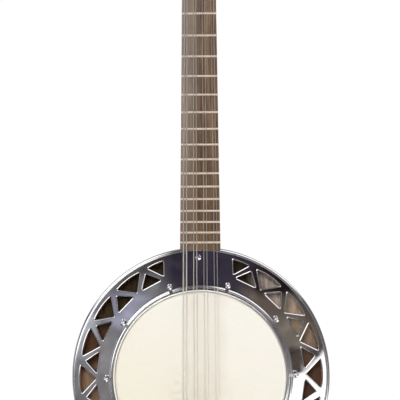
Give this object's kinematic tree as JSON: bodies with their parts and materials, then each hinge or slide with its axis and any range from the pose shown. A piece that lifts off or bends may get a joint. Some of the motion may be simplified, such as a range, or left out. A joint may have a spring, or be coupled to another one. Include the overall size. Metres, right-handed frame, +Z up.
{
  "type": "mandolin-banjo",
  "caption": "Small fretted banjo with paired strings, a round drum head, a pierced metal flange, a wooden resonator and geared tuning machines.",
  "frame": {"origin": "centre of the flat middle of the resonator's back, on the axis of the pot", "axes": "+Z up along the neck, -Y out of the drum head towards the player's hand, +X to the treble side seen from the front"},
  "size_m": [0.219, 0.0709, 0.5893],
  "materials": {
    "resonator_veneer": "polished reddish-brown veneer",
    "side_wood": "polished reddish-brown veneer",
    "binding": "aged ivory plastic",
    "inner_wood": "bare reddish-brown wood",
    "rim_wood": "bent maple, satin",
    "tone_brass": "turned",
    "head_skin": "cream, slightly mottled",
    "flesh_steel": "plated steel",
    "hoop_plate": "plated, lightly tarnished",
    "hook_plate": "plated",
    "flange_plate": "polished plate",
    "neck_wood": "satin varnish",
    "board_wood": "open-grained, unvarnished",
    "fret_metal": "worn nickel silver",
    "nut_bone": "polished bone",
    "veneer_black": "black lacquer",
    "steel": "machined",
    "tail_plate": "plated",
    "bridge_maple": "maple, oiled",
    "bridge_ebony": "ebony",
    "string_wound": "bronze wound",
    "string_plain": "bright steel",
    "tuner_plate": "plated",
    "gear_brass": "cut brass and plated post",
    "worm_steel": "cut steel",
    "button_ivoroid": "ivory-coloured plastic"
  },
  "bodies": {
    "frame": {"resonator_back": "resonator_veneer", "back_binding": "binding", "resonator_side": "side_wood", "resonator_lining": "inner_wood", "neck_block": "inner_wood", "tail_block": "inner_wood", "rim_shell": "rim_wood", "tone_ring": "tone_brass", "drum_head": "head_skin", "flesh_hoop": "flesh_steel", "tension_hoop": "hoop_plate", "tension_hooks": "hook_plate", "hook_nuts": "hook_plate", "hook_washers": "hook_plate", "flange": "flange_plate", "flange_screws": "hook_plate", "neck": "neck_wood", "fingerboard": "board_wood", "frets": "fret_metal", "nut": "nut_bone", "headstock_veneer": "veneer_black", "heel_bolt": "steel", "neck_nut": "steel", "coordinator_rod": "steel", "tailpiece_base": "tail_plate", "tailpiece_leg": "tail_plate", "tailpiece_pin": "steel", "end_pin": "tail_plate", "bridge": "bridge_maple", "bridge_cap": "bridge_ebony", "wound_strings": "string_wound", "plain_strings": "string_plain", "tuner_plates": "tuner_plate", "tuner_plate_screws": "hook_plate", "post_bushings": "tuner_plate"},
    "tail_cover": {"tailpiece_cover": "tail_plate"},
    "string_post_body_1": {"string_post_1": "gear_brass"},
    "worm_body_1": {"worm_shaft_1": "worm_steel", "tuner_button_1": "button_ivoroid"},
    "string_post_body_2": {"string_post_2": "gear_brass"},
    "worm_body_2": {"worm_shaft_2": "worm_steel", "tuner_button_2": "button_ivoroid"},
    "string_post_body_3": {"string_post_3": "gear_brass"},
    "worm_body_3": {"worm_shaft_3": "worm_steel", "tuner_button_3": "button_ivoroid"},
    "string_post_body_4": {"string_post_4": "gear_brass"},
    "worm_body_4": {"worm_shaft_4": "worm_steel", "tuner_button_4": "button_ivoroid"},
    "string_post_body_5": {"string_post_5": "gear_brass"},
    "worm_body_5": {"worm_shaft_5": "worm_steel", "tuner_button_5": "button_ivoroid"},
    "string_post_body_6": {"string_post_6": "gear_brass"},
    "worm_body_6": {"worm_shaft_6": "worm_steel", "tuner_button_6": "button_ivoroid"},
    "string_post_body_7": {"string_post_7": "gear_brass"},
    "worm_body_7": {"worm_shaft_7": "worm_steel", "tuner_button_7": "button_ivoroid"},
    "string_post_body_8": {"string_post_8": "gear_brass"},
    "worm_body_8": {"worm_shaft_8": "worm_steel", "tuner_button_8": "button_ivoroid"}
  },
  "joints": [
    {"name": "tail_cover_hinge", "type": "hinge", "parent": "frame", "child": "tail_cover", "pos_m": [0, -0.0674, -0.086], "axis": [1, 0, 0], "range_deg": [0, 80]},
    {"name": "worm_turn_1", "type": "hinge", "parent": "frame", "child": "worm_body_1", "pos_m": [-0.02, -0.02261, 0.35633], "axis": [-1, 0, 0], "continuous": true},
    {"name": "post_turn_1", "type": "hinge", "parent": "frame", "child": "string_post_body_1", "pos_m": [-0.02, -0.03896, 0.36712], "axis": [0, 0.9763, -0.2164], "continuous": true},
    {"name": "worm_turn_2", "type": "hinge", "parent": "frame", "child": "worm_body_2", "pos_m": [-0.02, -0.01763, 0.37878], "axis": [-1, 0, 0], "continuous": true},
    {"name": "post_turn_2", "type": "hinge", "parent": "frame", "child": "string_post_body_2", "pos_m": [-0.02, -0.03398, 0.38958], "axis": [0, 0.9763, -0.2164], "continuous": true},
    {"name": "worm_turn_3", "type": "hinge", "parent": "frame", "child": "worm_body_3", "pos_m": [-0.02, -0.01265, 0.40124], "axis": [-1, 0, 0], "continuous": true},
    {"name": "post_turn_3", "type": "hinge", "parent": "frame", "child": "string_post_body_3", "pos_m": [-0.02, -0.029, 0.41203], "axis": [0, 0.9763, -0.2164], "continuous": true},
    {"name": "worm_turn_4", "type": "hinge", "parent": "frame", "child": "worm_body_4", "pos_m": [-0.02, -0.00767, 0.42369], "axis": [-1, 0, 0], "continuous": true},
    {"name": "post_turn_4", "type": "hinge", "parent": "frame", "child": "string_post_body_4", "pos_m": [-0.02, -0.02403, 0.43448], "axis": [0, 0.9763, -0.2164], "continuous": true},
    {"name": "worm_turn_5", "type": "hinge", "parent": "frame", "child": "worm_body_5", "pos_m": [0.02, -0.01958, 0.36999], "axis": [1, 0, 0], "continuous": true},
    {"name": "post_turn_5", "type": "hinge", "parent": "frame", "child": "string_post_body_5", "pos_m": [0.02, -0.03896, 0.36712], "axis": [0, 0.9763, -0.2164], "continuous": true},
    {"name": "worm_turn_6", "type": "hinge", "parent": "frame", "child": "worm_body_6", "pos_m": [0.02, -0.0146, 0.39245], "axis": [1, 0, 0], "continuous": true},
    {"name": "post_turn_6", "type": "hinge", "parent": "frame", "child": "string_post_body_6", "pos_m": [0.02, -0.03398, 0.38958], "axis": [0, 0.9763, -0.2164], "continuous": true},
    {"name": "worm_turn_7", "type": "hinge", "parent": "frame", "child": "worm_body_7", "pos_m": [0.02, -0.00962, 0.4149], "axis": [1, 0, 0], "continuous": true},
    {"name": "post_turn_7", "type": "hinge", "parent": "frame", "child": "string_post_body_7", "pos_m": [0.02, -0.029, 0.41203], "axis": [0, 0.9763, -0.2164], "continuous": true},
    {"name": "worm_turn_8", "type": "hinge", "parent": "frame", "child": "worm_body_8", "pos_m": [0.02, -0.00464, 0.43736], "axis": [1, 0, 0], "continuous": true},
    {"name": "post_turn_8", "type": "hinge", "parent": "frame", "child": "string_post_body_8", "pos_m": [0.02, -0.02403, 0.43448], "axis": [0, 0.9763, -0.2164], "continuous": true}
  ],
  "couplings": [
    {"joint": "post_turn_1", "follows": "worm_turn_1", "ratio": -0.071429},
    {"joint": "post_turn_2", "follows": "worm_turn_2", "ratio": -0.071429},
    {"joint": "post_turn_3", "follows": "worm_turn_3", "ratio": -0.071429},
    {"joint": "post_turn_4", "follows": "worm_turn_4", "ratio": -0.071429},
    {"joint": "post_turn_5", "follows": "worm_turn_5", "ratio": -0.071429},
    {"joint": "post_turn_6", "follows": "worm_turn_6", "ratio": -0.071429},
    {"joint": "post_turn_7", "follows": "worm_turn_7", "ratio": -0.071429},
    {"joint": "post_turn_8", "follows": "worm_turn_8", "ratio": -0.071429}
  ]
}
